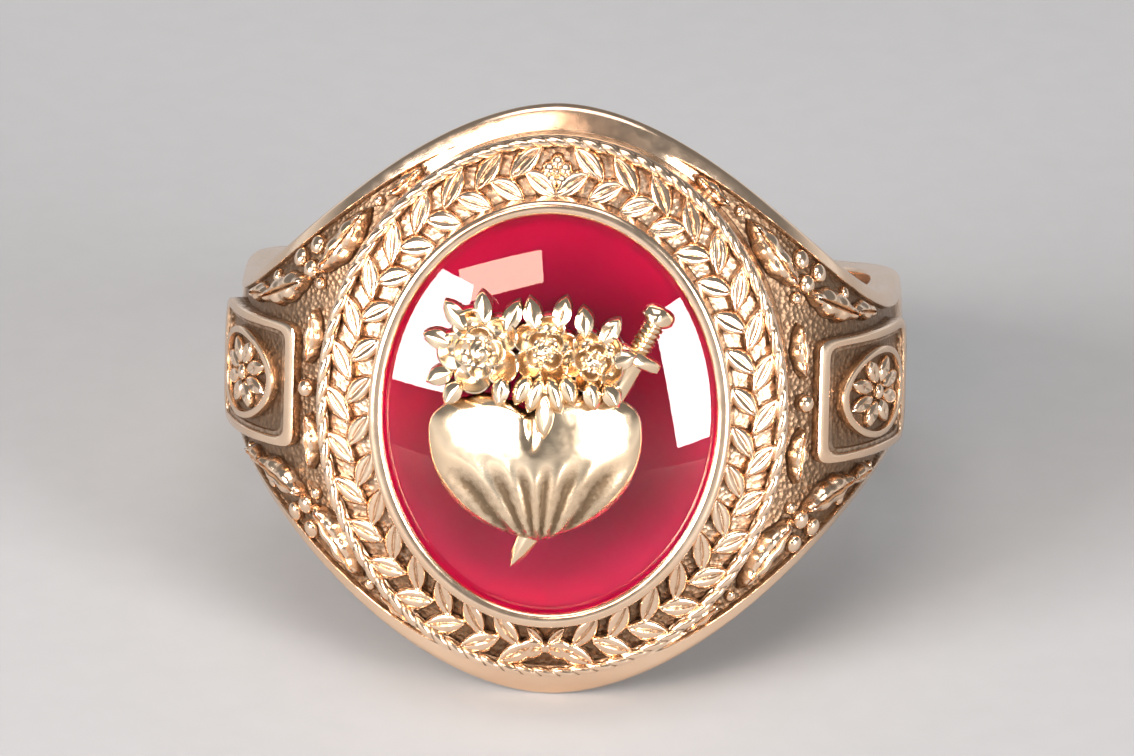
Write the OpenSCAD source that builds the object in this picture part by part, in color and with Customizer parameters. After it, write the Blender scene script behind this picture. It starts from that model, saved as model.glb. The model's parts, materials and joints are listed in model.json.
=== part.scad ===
// Class ring lying on its side: one cast gold body, an oval buff-top stone and the gold emblem on it.
// Every piece is modelled upright (X across the face, Y along the finger, Z out of the face), and
// resting() then lays the whole ring down on the edge of its head and the edge of its shank.

/* [Finger hole and shank] */
// Inside diameter of the finger hole
finger_d = 17.75; // [15:0.05:22]
// Metal thickness of the shank at the sides and the back
shank_wall = 1; // [0.8:0.05:1.8]
// Width of the shank at the two sides, where the shoulders end
side_w = 5; // [3.5:0.1:8]
// Width of the shank at the back
back_w = 3.6; // [2.4:0.1:7]
// How much the shank's outside is crowned towards its edges
shank_crown = 0.15; // [0.05:0.01:0.3]
// Undercut of the shank's side walls, in mm for each mm of their height
shank_draft = 0.1; // [0:0.05:0.4]

/* [Head] */
// Thickness of the head plate over the finger hole
plate_t = 2.7; // [2.2:0.05:4]
// Width of the smooth rim outside the rope ridge
rim_w = 0.75; // [0.3:0.05:1.5]
// How much the head plate falls towards its outer edge
rim_drop = 0.7; // [0.2:0.05:1.2]
// Undercut of the head's side walls, in mm for each mm of their height
head_draft = 0.5; // [0.4:0.05:0.6]
// Fullness of the lens-shaped outline of the head
outline_power = 1.85; // [1.5:0.05:2.5]
// Squareness of the shoulders seen along the finger
shoulder_power = 3.3; // [2.4:0.1:4]

/* [Stone] */
// Width of the stone across the finger
stone_w = 10; // [8:0.1:12]
// Length of the stone along the finger
stone_len = 12; // [10:0.1:14]
// Thickness of the stone's edge
girdle_t = 0.3; // [0.2:0.05:0.6]
// Rise of the smooth top above the stone's edge
dome_rise = 1.2; // [0.6:0.05:2]
// Depth of the cut underside below the stone's edge
pavilion_depth = 1.7; // [1:0.05:2]
// Width of the flat facet at the bottom of the stone
culet_w = 3; // [1.5:0.1:4]
// Number of facets round the cut underside
pavilion_facets = 16; // [8:2:24]
// Gap between the stone and its seat
seat_gap = 0.05; // [0.03:0.01:0.1]

/* [Bezel and border] */
// Height of the stone's edge above the head plate
stone_lift = 1.9; // [1.4:0.05:2.6]
// Width of the polished bezel round the stone
bezel_w = 0.45; // [0.3:0.05:0.8]
// Overlap of the bezel lip over the stone
lip_overlap = 0.17; // [0.1:0.01:0.3]
// Height of the bezel lip above the stone's edge
lip_h = 0.4; // [0.25:0.05:0.7]
// Height of the bezel wall above the sunk border
bezel_wall_h = 1.1; // [0.5:0.05:1.6]
// Width of the sunk border at the two sides
border_side_w = 1.2; // [0.8:0.05:1.8]
// Width of the sunk border at the two ends
border_end_w = 1.3; // [0.6:0.05:1.6]
// Fall of the sunk border from the bezel to the rope ridge
border_fall = 0.6; // [0.1:0.05:0.7]
// Number of raised leaves round the sunk border
border_leaves = 34; // [20:2:44]
// Height of the raised leaves
border_leaf_h = 0.32; // [0.15:0.01:0.5]
// Width of the rope ridge
ridge_w = 0.35; // [0.3:0.05:0.8]
// Height of the rope ridge above the sunk border
ridge_h = 0.32; // [0.15:0.01:0.6]
// Height of the scallops of the rope ridge
scallop_h = 0.1; // [0.04:0.01:0.2]
// Number of scallops of the rope ridge
scallops = 60; // [48:4:72]

/* [Shoulders] */
// Width of the smooth stripe along the shoulder edges
stripe_w = 0.5; // [0.3:0.05:1]
// Depth of the sunk ground between the stripes
ground_depth = 0.22; // [0.1:0.01:0.35]
// Width of the framed panel across the shoulder
panel_w = 3.7; // [2.6:0.1:4.4]
// Angle round the finger from the face to the panel's upper edge
panel_from = 38; // [34:0.5:44]
// Angle round the finger from the face to the panel's lower edge
panel_to = 67; // [62:0.5:74]
// Width of the panel's frame
frame_w = 0.4; // [0.25:0.05:0.7]
// Height of the panel's frame above the shoulder at its lower edge
frame_h = 0.4; // [0.3:0.05:0.8]
// How much less the panel stands up at its upper edge, beside the face
panel_ramp = 0.25; // [0:0.05:0.3]
// Height of the panel's sunk floor above the shoulder at its lower edge
panel_floor_h = 0.15; // [0.05:0.01:0.25]
// Width of the oval medallion on the panel, along the finger
medallion_w = 2.7; // [1.8:0.1:3.2]
// Length of the medallion round the finger
medallion_len = 4.2; // [2.6:0.1:4.8]
// Height of the medallion above the shoulder at the panel's lower edge
medallion_h = 0.45; // [0.3:0.05:0.7]
// Number of petals of the medallion's rosette
petals = 8; // [5:1:10]
// Length of the largest shoulder leaves
leaf_len = 2.6; // [1.6:0.1:3.2]
// Width of the largest shoulder leaves
leaf_w = 1; // [0.6:0.05:1.5]
// Height of the largest shoulder leaves
leaf_h = 0.45; // [0.25:0.05:0.7]
// Diameter of the berries and of the beads at the panels
berry_d = 0.6; // [0.5:0.05:1]

/* [Emblem] */
// Width of the heart
heart_w = 6.2; // [4:0.1:7]
// Length of the heart from its lobes to its tip
heart_len = 4.5; // [3.5:0.1:5.5]
// Height of the heart above the stone
heart_h = 1.1; // [0.6:0.05:1.6]
// Lean of the heart away from the sword's hilt
heart_lean = 3; // [0:1:15]
// Diameter of the largest flower
flower_d = 2.7; // [1.8:0.1:3]
// Height of the flowers above the stone
flower_h = 1; // [0.6:0.05:1.6]
// Length of the sword
sword_len = 8.8; // [7:0.1:9.2]
// Lean of the sword from the line along the finger
sword_lean = 29; // [15:1:45]
// Width of the sword's blade
sword_w = 0.75; // [0.4:0.05:1]
// Height of the sword above the stone
sword_h = 0.45; // [0.3:0.05:0.8]
// Gap between the emblem and the stone
emblem_gap = 0.04; // [0.02:0.01:0.1]

/* [Hidden] */

// Radii and half widths of the band
bore_r = finger_d / 2;
shank_r = bore_r + shank_wall;
plate_z = bore_r + plate_t;
side_half = side_w / 2;
back_half = back_w / 2;

// Half sizes of the ovals of the head, from the stone outwards: [across, along the finger]
stone_half = [stone_w, stone_len] / 2;
bezel_half = stone_half + [1, 1] * (seat_gap + bezel_w - lip_overlap);
border_half = bezel_half + [border_side_w, border_end_w];
ridge_half = border_half + [ridge_w, ridge_w];
head_half = ridge_half.y + rim_w;

// Heights of the head: the stone's edge, the bezel lip, the border's inner and outer edge
girdle_z = plate_z + stone_lift;
lip_z = girdle_z + lip_h;
border_in_z = lip_z - bezel_wall_h;
border_out_z = border_in_z - border_fall;

// Numbers of steps of the meshed shapes
band_steps = 90;
head_steps = 2 * scallops;
stone_steps = 48;
small_steps = 10;

// Depth to which every raised piece is sunk into what carries it
sink = 0.45;
// The inner face of the band before the finger hole is cut lies this far inside the hole
core_inset = 1.2;
// Chamfer along the outer edges of the band
edge_bevel = 0.2;
// Width of the step from the smooth stripe down to the sunk ground
ground_step = 0.12;
// Angles from the face between which the ground sinks beside the head, and rises again below
ground_start = [14, 24];
ground_end = [76, 86];
// Rounding of the bezel lip, and how far the bezel's wall leans in
lip_round = 0.12;
bezel_lean = 0.06;
// Height above the stone to which the cutters reach
cutter_h = 4;

// The panels: the angle of their middle, their half size, and the gap round what stands on the shoulders
panel_mid = (panel_from + panel_to) / 2;
relief_gap = 0.15;

// Share of the heart's length that lies above its widest line, and the depth of the notch in it
lobe_share = 0.33;
notch_share = 0.4;
// Half widths of the notch and of the tip's point, as shares of the heart's half width, and the
// length of that point
notch_w = 0.22;
tip_w = 0.2;
tip_share = 0.05;

// Places of the emblem's parts on the stone. The flowers' places are shares of the heart's width and
// length from its middle, each with its share of the largest flower's size.
heart_at = [-0.06 * heart_w, -0.13 * heart_len];
flowers = [[-0.263, 0.54, 1], [0.044, 0.6, 0.8], [0.27, 0.53, 0.74]];
sword_at = heart_at + [0.24 * heart_w, 0];

// Tilt of the lying ring, which rests on the edge of its head and on the edge of its shank
rest_z = plate_z - rim_drop - edge_bevel;
tilt = atan((head_half - back_half) / (rest_z + shank_r));
lift = head_half * cos(tilt) - rest_z * sin(tilt);
// Reach of the lying ring to its emblem in front and to its shank behind, which sets its middle
front_reach = (girdle_z + dome_rise + emblem_gap + heart_h) * cos(tilt) + heart_len / 3 * sin(tilt);
rear_reach = (shank_r - shank_crown * pow(1 - edge_bevel / back_half, 4)) * cos(tilt)
    + (back_half - edge_bevel) * sin(tilt);
rest_shift = (front_reach - rear_reach) / 2;

function clamp(x, low, high) = min(max(x, low), high);
function ease(x, low, high) = let (t = clamp((x - low) / (high - low), 0, 1)) t * t * (3 - 2 * t);
function mix(a, b, t) = a + (b - a) * t;
function sum(list, i = 0) = i == len(list) - 1 ? list[i] : list[i] + sum(list, i + 1);
function spin(p, angle) = [p.x * cos(angle) - p.y * sin(angle), p.x * sin(angle) + p.y * cos(angle)];

// Radius of the band's outer surface at an angle round the finger, 0 at the face and 180 at the back
function band_r(angle) = cos(angle) > 0
    ? pow(pow(abs(sin(angle)) / shank_r, shoulder_power) + pow(cos(angle) / plate_z, shoulder_power),
          -1 / shoulder_power)
    : shank_r;

// Half width of the band at that angle: the lens outline in front, a gentle taper behind
function band_half(angle) = cos(angle) > 0
    ? let (reach = min(band_r(angle) * abs(sin(angle)) / shank_r, 1))
      mix(head_half, side_half, pow(reach, outline_power))
    : mix(side_half, back_half, ease(-cos(angle), 0, 1));

// Share of the head's shape at an angle: 1 at the face, 0 from the sides backwards
function facing(angle) = ease(cos(angle), 0, 1);

// Half width of the band at a radius inside its surface, where its side walls are undercut
function inner_half(angle, r) = band_half(angle)
    - mix(shank_draft, head_draft, facing(angle)) * (band_r(angle) - rim_drop * facing(angle) - r);

// Fall of the surface at a distance y from the middle of the band
function band_drop(angle, y) =
    mix(shank_crown, rim_drop, facing(angle)) * pow(abs(y) / band_half(angle), 4);

// A point on the band: angle round the finger, y along the finger, h above the surface
function on_band(angle, y, h) =
    let (r = band_r(angle) - band_drop(angle, y) + h) [r * sin(angle), y, r * cos(angle)];

// The sunk ground between the stripes runs from beside the head down to the end of the shoulder
function ground(turn) = ground_depth * ease(turn, ground_start[0], ground_start[1])
    * (1 - ease(turn, ground_end[0], ground_end[1]));

// One cross-section of the band, from one inner edge over the outside to the other
function band_section(angle) = let (
        w = band_half(angle),
        g = ground(min(angle, 360 - angle)),
        stripe = w - min(stripe_w, w / 3),
        inner = bore_r - core_inset,
        inner_w = inner_half(angle, inner),
        half = [
            [0, -g],
            [0.4 * w, -g],
            [stripe - ground_step, -g],
            [stripe, 0],
            [w - edge_bevel, 0],
            [w, -edge_bevel]]
    ) concat(
        [[inner * sin(angle), -inner_w, inner * cos(angle)]],
        [for (i = [len(half) - 1:-1:1]) on_band(angle, -half[i].x, half[i].y)],
        [for (p = half) on_band(angle, p.x, p.y)],
        [[inner * sin(angle), inner_w, inner * cos(angle)]]);

// Two triangles for each cell between rings i and k of n points each
function strip(i, k, n) = [for (j = [0:n - 1]) let (m = (j + 1) % n)
    each [[i * n + j, i * n + m, k * n + m], [i * n + j, k * n + m, k * n + j]]];

// A closed solid from rings of points, counter-clockwise from above, the first at the bottom
module ringed_solid(rings) {
    n = len(rings[0]);
    rows = len(rings);
    ends = [sum(rings[0]) / n, sum(rings[rows - 1]) / n];
    bottom = rows * n;
    polyhedron(
        concat([for (ring = rings) each ring], ends),
        [for (f = concat(
            [for (i = [0:rows - 2]) each strip(i, i + 1, n)],
            [for (j = [0:n - 1]) [bottom, (j + 1) % n, j]],
            [for (j = [0:n - 1]) [bottom + 1, bottom - n + j, bottom - n + (j + 1) % n]]))
            [f[0], f[2], f[1]]]);
}

// The loop of the band: shank, shoulders and lens-shaped head plate
module band() {
    n = len(band_section(0));
    polyhedron(
        [for (i = [0:band_steps - 1]) each band_section(360 * i / band_steps)],
        [for (i = [0:band_steps - 1]) each strip(i, (i + 1) % band_steps, n)]);
}

// An oval ring of points round the middle of the face
function oval(half, z, steps) = [for (i = [0:steps - 1])
    let (a = 360 * i / steps) [half.x * cos(a), half.y * sin(a), z]];

// The rope ridge's crest: every other point stands higher
function scalloped(half, z, steps) = [for (i = [0:steps - 1])
    let (a = 360 * i / steps) [half.x * cos(a), half.y * sin(a), z + (i % 2 == 0 ? scallop_h : 0)]];

// Height of the head's foot, sunk into the plate where it curves down at the two sides of the head
head_foot_z = plate_z * pow(1 - pow(ridge_half.x / shank_r, shoulder_power), 1 / shoulder_power) - 2 * sink;

// The oval setting on the head plate: rope ridge, sunk border and bezel
module head() {
    crest_half = border_half + [1, 1] * ridge_w / 2;
    lip_half = stone_half - [1, 1] * lip_overlap;
    ringed_solid([
        oval(ridge_half - [1, 1] * head_draft, head_foot_z, head_steps),
        oval(ridge_half, border_out_z + ridge_h / 3, head_steps),
        scalloped(crest_half, border_out_z + ridge_h, head_steps),
        oval(border_half, border_out_z, head_steps),
        oval(bezel_half, border_in_z, head_steps),
        oval(bezel_half - [1, 1] * bezel_lean, lip_z - lip_round, head_steps),
        oval((bezel_half + lip_half) / 2, lip_z, head_steps),
        oval(lip_half, lip_z - 0.4 * lip_round, head_steps)]);
}

// Height of the sunk border's floor at a share t of its width from the bezel
function border_floor(t) = border_in_z - border_fall * t;

// One raised leaf of the border at an angle round the oval: a lozenge with a ridge along its middle
module border_leaf(angle) {
    pitch = 180 / border_leaves;
    function at(turn, t, h) = let (half = bezel_half + (border_half - bezel_half) * t)
        [half.x * cos(turn), half.y * sin(turn), border_floor(t) + h];
    outline = [[0, 0.15], [-0.8, 0.5], [0, 0.85], [0.8, 0.5]];
    ringed_solid([
        [for (p = outline) at(angle + p.x * pitch, p.y, -sink)],
        [for (p = outline) at(angle + p.x * pitch, p.y, 0.4 * border_leaf_h)],
        [for (p = outline) at(angle + 0.35 * p.x * pitch, 0.5 + (p.y - 0.5) * 0.45, border_leaf_h)]]);
}

// A raised piece on a shoulder: rings of [share of its half sizes, height], round a middle point.
// side is 1 for the right shoulder and -1 for the left; edge gives the outline's radius at a turn.
// fall is how much less a point stands up for each mm towards the face, from 0 at the angle level_at.
module raised(side, angle, y, half, lean, levels, edge, steps, fall = 0, level_at = 0) {
    turn_per_mm = 180 / (PI * band_r(angle));
    ringed_solid([for (level = concat([[1, -sink - ground_depth]], levels)) [for (i = [0:steps - 1])
        let (a = 360 * i / steps, r = edge(a) * level[0],
             p = spin([half.x * r * cos(a), half.y * r * sin(a)], lean),
             turn = angle + p.x * turn_per_mm,
             h = level[1] - fall * (level_at - turn) / turn_per_mm)
        on_band(side * turn, y + side * p.y, h)]]);
}

round_edge = function (a) 1;
leaf_edge = function (a) 1 / (abs(cos(a)) + abs(sin(a))) * (1 + 0.35 * pow(abs(sin(2 * a)), 2));
square_edge = function (a) 1 / max(abs(cos(a)), abs(sin(a)));

// Half size of a panel, and how much it falls for each mm towards the face
panel_half = [(panel_to - panel_from) / 2 * PI * band_r(panel_mid) / 180, panel_w / 2];
panel_fall = panel_ramp / (2 * panel_half.x);

// The framed panel of a shoulder with its bead at the upper edge
module panel(side) {
    inner = (panel_half.y - frame_w) / panel_half.y;
    bead_turn = (berry_d / 2 + relief_gap) * 180 / (PI * band_r(panel_from));
    raised(side, panel_mid, 0, panel_half, 0,
        [[1, 0.75 * frame_h], [0.95, frame_h], [inner + 0.04, frame_h], [inner, panel_floor_h]],
        square_edge, 16, panel_fall, panel_to);
    berry(side, panel_from - bead_turn, 0);
}

// The medallion: an oval rim with a rosette of petals in it
module medallion(side) {
    half = [medallion_len, medallion_w] / 2;
    steps = 4 * petals;
    petal_edge = function (a) 0.8 + 0.2 * cos(petals * a);
    raised(side, panel_mid, 0, half, 0,
        [[0.97, medallion_h], [0.84, medallion_h], [0.76, 1.3 * panel_floor_h]],
        round_edge, steps, panel_fall, panel_to);
    raised(side, panel_mid, 0, 0.68 * half, 0,
        [[1, 1.7 * panel_floor_h], [0.6, 0.9 * medallion_h]],
        petal_edge, steps, panel_fall, panel_to);
}

// A ribbed leaf of the shoulder, seen as a pointed mound, at a share of the largest leaf's size
module leaf(side, angle, y, lean, size) {
    top = (0.4 + 0.6 * size) * leaf_h - ground_depth;
    raised(side, angle, y, size * [leaf_len, leaf_w] / 2, lean,
        [[1, -0.5 * ground_depth], [0.5, top]], leaf_edge, small_steps);
}

// A berry or bead
module berry(side, angle, y) {
    raised(side, angle, y, [berry_d, berry_d] / 2, 0,
        [[1, 0.13 * berry_d], [0.6, 0.45 * berry_d]], round_edge, small_steps);
}

// Outer edge of the ground, at the smooth stripe, and its middle between the rope ridge and there
function stripe_y(angle) = band_half(angle) - stripe_w;
function ground_y(angle) = let (x = min(band_r(angle) * sin(angle) / ridge_half.x, 1))
    (ridge_half.y * sqrt(1 - x * x) + stripe_y(angle)) / 2;

// The foliage of one quarter of the shoulders; up is 1 above the panel and -1 below it
module foliage(side, up) {
    edge_y = panel_w / 2 + relief_gap;
    // Two leaves beside the rope ridge, one that hangs at the panel's corner and two along the panel:
    // [angle from the panel's upper edge, distance along the finger, lean, size]
    spots = [
        [-15.7, ground_y(panel_from - 15.7), 41, 0.56],
        [-7, ground_y(panel_from - 7) + 0.25 * leaf_w, 53, 1],
        [-2.8, edge_y - 0.45 * leaf_w, 84, 0.65],
        [3.6, edge_y + 0.78 * leaf_w, 20, 0.95],
        [11.9, edge_y + 0.43 * leaf_w, 8, 0.6]];
    for (s = spots) leaf(side, panel_from + s[0], up * s[1], -side * up * s[2], s[3]);
    // A cluster of three berries between the largest leaves and the stripe: [angle from the panel's
    // upper edge, distance from the stripe as a share of the berry]
    for (b = [[-2.1, 0.75], [1.1, 0.7], [-1.5, 1.8]])
        berry(side, panel_from + b[0], up * (stripe_y(panel_from + b[0]) - b[1] * berry_d));
}

// The stone's top surface
function dome_z(p, half) = girdle_z + dome_rise * (1 - pow(p.x / half.x, 2) - pow(p.y / half.y, 2));

// Rings of the stone's shape, grown by a gap, up to its edge
function stone_rings(grow) = let (
        half = stone_half + [1, 1] * grow,
        culet = [culet_w, culet_w * stone_len / stone_w] / 2 + [1, 1] * grow,
        facet = 360 / pavilion_facets,
        flat = function (a) cos(facet / 2) / cos(a % facet - facet / 2),
        cut = function (half, z) [for (i = [0:stone_steps - 1]) let (a = 360 * i / stone_steps)
            [half.x * cos(a) * flat(a), half.y * sin(a) * flat(a), z]],
        low_z = girdle_z - girdle_t
    ) [
        cut(culet, low_z - pavilion_depth - grow),
        cut(mix(culet, half, 0.62), low_z - 0.52 * pavilion_depth - grow),
        oval(half, low_z - grow, stone_steps),
        oval(half, girdle_z + grow, stone_steps)];

// Rings of the smooth top, raised by a gap
function dome_rings(grow) = [for (s = [0.97, 0.9, 0.8, 0.66, 0.5, 0.33, 0.16])
    [for (i = [0:stone_steps - 1]) let (a = 360 * i / stone_steps,
            p = s * [stone_half.x * cos(a), stone_half.y * sin(a)])
        [p.x, p.y, dome_z(p, stone_half) + grow]]];

// The space for the stone: its own shape with a gap all round, open upwards inside the lip
module stone_seat() {
    opening = stone_half - [1, 1] * lip_overlap;
    ringed_solid(concat(stone_rings(seat_gap), [
        oval(opening, girdle_z + 2 * seat_gap + 0.09, stone_steps),
        oval(opening, girdle_z + cutter_h, stone_steps)]));
}

// Everything of the casting but its finger hole, joined as one closed mesh
module casting() {
    resize([0, 0, 0]) difference() {
        union() {
            band();
            head();
            for (i = [0:border_leaves - 1]) border_leaf(360 * i / border_leaves);
            for (side = [-1, 1]) {
                panel(side);
                medallion(side);
                for (up = [-1, 1]) foliage(side, up);
            }
        }
        stone_seat();
    }
}

// Outline of the heart at a turn from its notch: two lobes above its widest line, a half oval with a
// small point below it
function heart_point(a) = let (
        x = sin(a),
        notch = notch_share * exp(-pow(x / notch_w, 2)),
        point = tip_share * exp(-pow(x / tip_w, 2))
    ) [
        x * heart_w / 2,
        cos(a) > 0
            ? lobe_share * heart_len * pow(cos(a), 0.6) * (1 - notch)
            : (1 - lobe_share) * heart_len * cos(a) * (1 - tip_share + point)];

// A mound of the emblem that stands on the stone: its middle, its outline, its height and its levels,
// each as [share of the outline, share of the height]
module mound(middle, outline, height, levels) {
    ringed_solid([for (level = concat([[levels[0][0], -sink / height]], levels)) [for (q = outline)
        let (p = middle + q * level[0]) [p.x, p.y, dome_z(p, stone_half) + level[1] * height]]]);
}

module heart() {
    steps = 36;
    outline = [for (i = [steps:-1:1]) spin(heart_point(360 * i / steps), heart_lean)];
    mound(heart_at, outline, heart_h, [[1, 0.35], [0.93, 0.62], [0.78, 0.86], [0.5, 0.98], [0.2, 1]]);
}

// A flower with five petals round a sunk middle and a bud
module flower(middle, d) {
    steps = 20;
    edge = function (a) d / 2 * (0.9 + 0.1 * cos(5 * a));
    outline = [for (i = [0:steps - 1]) let (a = 360 * i / steps) edge(a) * [cos(a), sin(a)]];
    mound(middle, outline, flower_h, [[1, 0.55], [0.85, 0.85], [0.55, 1], [0.35, 0.8], [0.15, 0.95]]);
}

// The sword behind the heart, from its hilt at the upper right to its tip at the lower left, through
// stations of [share of its length, share of the blade's width]
module sword() {
    way = [sin(sword_lean), cos(sword_lean)];
    side = [way.y, -way.x];
    hilt = sword_at + way * sword_len / 2;
    section = [[-1, -1], [1, -1], [1, 0.3], [0, 1], [-1, 0.3]];
    pommel_and_grip = [[0, 0.6], [0.08, 0.8], [0.11, 0.45], [0.15, 0.45]];
    guard = [[0.165, 1.8], [0.205, 1.8]];
    blade = [[0.21, 1], [0.5, 0.95], [0.75, 0.95], [0.93, 0.75], [1, 0.08]];
    ringed_solid([for (station = concat(pommel_and_grip, guard, blade)) [for (q = section)
        let (p = hilt - way * station[0] * sword_len + side * q[0] * station[1] * sword_w / 2)
        [p.x, p.y, dome_z(p, stone_half) + (q[1] > 0 ? q[1] * sword_h : -sink)]]]);
}

module emblem_mesh() {
    resize([0, 0, 0]) difference() {
        union() {
            heart();
            for (f = flowers) flower(heart_at + [f[0] * heart_w, f[1] * heart_len], f[2] * flower_d);
            sword();
        }
        ringed_solid(concat([oval(stone_half, girdle_z - cutter_h, stone_steps),
            oval(stone_half, girdle_z + emblem_gap, stone_steps)], dome_rings(emblem_gap)));
    }
}

// Lays the upright ring down on its side, with its lowest edge on the surface
module resting() {
    translate([0, rest_shift, lift]) rotate([90 - tilt, 0, 0]) children();
}

module ring_body() {
    color("#c9a06e") resting() difference() {
        casting();
        rotate([90, 0, 0]) cylinder(r = bore_r, h = 3 * head_half, center = true, $fn = 180);
    }
}

module stone() {
    color("#b01432") resting() ringed_solid(concat(stone_rings(0), dome_rings(0)));
}

module emblem() {
    color("#dcb98c") resting() emblem_mesh();
}

ring_body();
stone();
emblem();
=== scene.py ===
import json
import math

import bpy
import numpy as np
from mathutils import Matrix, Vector

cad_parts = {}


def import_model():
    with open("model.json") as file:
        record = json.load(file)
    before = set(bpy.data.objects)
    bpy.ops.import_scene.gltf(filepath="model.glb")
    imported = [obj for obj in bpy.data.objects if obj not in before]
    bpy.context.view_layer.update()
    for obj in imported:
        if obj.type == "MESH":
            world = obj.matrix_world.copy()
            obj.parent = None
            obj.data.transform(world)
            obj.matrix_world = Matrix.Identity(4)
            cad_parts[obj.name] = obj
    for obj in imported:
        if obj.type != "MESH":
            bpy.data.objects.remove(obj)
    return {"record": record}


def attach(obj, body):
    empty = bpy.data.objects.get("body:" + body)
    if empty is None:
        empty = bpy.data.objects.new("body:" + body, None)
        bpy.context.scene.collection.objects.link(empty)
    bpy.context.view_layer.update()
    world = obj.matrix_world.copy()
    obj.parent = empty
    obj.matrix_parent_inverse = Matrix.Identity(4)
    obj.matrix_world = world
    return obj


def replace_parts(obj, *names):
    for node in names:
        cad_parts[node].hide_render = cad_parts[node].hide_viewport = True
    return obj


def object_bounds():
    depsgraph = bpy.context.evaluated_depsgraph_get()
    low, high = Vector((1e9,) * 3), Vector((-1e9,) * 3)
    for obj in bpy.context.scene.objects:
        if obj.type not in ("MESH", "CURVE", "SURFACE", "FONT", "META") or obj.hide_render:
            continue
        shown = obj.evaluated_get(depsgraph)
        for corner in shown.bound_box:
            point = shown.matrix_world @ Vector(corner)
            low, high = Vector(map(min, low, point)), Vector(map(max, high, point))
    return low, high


# A class ring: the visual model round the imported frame, on a plain floor in soft studio light.
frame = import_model()
cad_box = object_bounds()

# All lengths below are in millimetres, in the upright ring's own axes: X across the face, Y along the
# finger, Z out of the face. world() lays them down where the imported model's finger hole lies.
MM = 0.001
HOLE = next(m for m in frame["record"]["mounts"] if m["name"] == "finger_hole")
HOLE_AT = np.array(HOLE["pos_m"], float)
ACROSS = np.array([1.0, 0.0, 0.0])
ALONG = np.array(HOLE["axis"], float) / np.linalg.norm(HOLE["axis"])
OUT = np.cross(ACROSS, ALONG)
AXES = np.array([ACROSS, ALONG, OUT])
TILT = math.degrees(math.asin(ALONG[1]))

# Band
BORE_R = HOLE["dims"]["r_mm"]
SHANK_R = BORE_R + 1.0
PLATE_Z = BORE_R + 2.7
SIDE_HALF = 2.5
BACK_HALF = 1.8
OUTLINE_POWER = 1.85
SHOULDER_POWER = 3.3
SHANK_CROWN = 0.15
SHANK_DRAFT = 0.1
HEAD_DRAFT = 0.5
RIM_DROP = 0.7
EDGE_ROUND = 0.2
HOLE_ROUND = 0.12
UNDER_HEAD_DROP = 0.45
OUTLINE_INSET = 0.015
STRIPE_W = 0.5
GROUND_DEPTH = 0.22
GROUND_WALL_W = 0.12
GROUND_START = (14, 24)
GROUND_END = (76, 86)

# Head, from the stone outwards
STONE_HALF = np.array([5.0, 6.0])
SEAT_GAP = 0.05
BEZEL_W = 0.45
BEZEL_DRAFT = 0.06
LIP_OVERLAP = 0.17
LIP_H = 0.4
LIP_ROUND = 0.16
BEZEL_HALF = STONE_HALF + SEAT_GAP + BEZEL_W - LIP_OVERLAP
BORDER_HALF = BEZEL_HALF + np.array([1.2, 1.3])
BORDER_W = 1.25
RIDGE_W = 0.35
RIDGE_HALF = BORDER_HALF + RIDGE_W
RIM_W = 0.75
HEAD_HALF = RIDGE_HALF[1] + RIM_W
GIRDLE_Z = PLATE_Z + 1.9
GIRDLE_T = 0.3
LIP_Z = GIRDLE_Z + LIP_H
BORDER_IN_Z = LIP_Z - 1.1
BORDER_FALL = 0.6
BORDER_OUT_Z = BORDER_IN_Z - BORDER_FALL
FOOT_Z = PLATE_Z * (1 - (RIDGE_HALF[0] / SHANK_R) ** SHOULDER_POWER) ** (1 / SHOULDER_POWER) - 0.9
DOME_RISE = 1.2
PAVILION_DEPTH = 1.7
CULET_W = 3.0
PAVILION_FACETS = 16
STONE_STEPS = 192

# Rope ridge
ROPE_STRANDS = 78
ROPE_FLAT_H = 0.1
ROPE_MIDDLE_H = 0.2
ROPE_R = 0.115
STRAND_SWELL = 0.06

# Shoulders
PANEL_W = 3.7
PANEL_FROM = 38.0
PANEL_TO = 67.0
PANEL_MID = (PANEL_FROM + PANEL_TO) / 2
PANEL_RAMP = 0.25
FRAME_W = 0.4
FRAME_H = 0.4
PANEL_FLOOR_H = 0.15
MEDALLION_HALF = np.array([2.1, 1.35])
MEDALLION_H = 0.45
BERRY_R = 0.29
LEAF_LEN = 2.6
LEAF_W = 1.0
LEAF_H = 0.44
RELIEF_GAP = 0.15
RELIEF_ROOT_H = -0.6

# Emblem
HEART_W = 6.2
HEART_LEN = 4.5
HEART_LEAN = 3.0
HEART_AT = np.array([-0.06 * HEART_W, -0.13 * HEART_LEN])
HEART_FOOT_H = 0.15
HEART_CREST_H = 0.86
# How fast the crest falls to both sides, and above and below its highest line, a share of the length
CREST_SIDE_FALL = 0.62
CREST_END_FALL = 0.48
CREST_AT = -0.16
CREASE_DEPTH = 0.2
FLUTE_DEPTH = 0.07
FLUTE_COUNT = 19
LOBE_SHARE = 0.33
FLOWER_R = 1.35
SWORD_LEN = 8.8
SWORD_LEAN = 29.0
SWORD_W = 0.75
SWORD_H = 0.45
SWORD_AT = HEART_AT + np.array([0.24 * HEART_W, 0])
EMBLEM_GAP = 0.04

# Meshes: edges sharper than this many degrees stay sharp, and bends count up to this many 1/mm
SHARP_ANGLE = 42
BEND_LIMIT = 12
SHORTEST_STEP = 0.01
SMOOTHINGS = 2


def world(points):
    """Points of the upright ring in mm, as points of the row frame in metres."""
    return HOLE_AT + MM * (np.asarray(points, float) @ AXES)


def ease(x, low, high):
    """From 0 at low to 1 at high, level at both ends."""
    t = np.clip((x - low) / (high - low), 0, 1)
    return t * t * (3 - 2 * t)


def mix(a, b, t):
    """From a where t is 0 to b where t is 1."""
    return a + (b - a) * t


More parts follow.
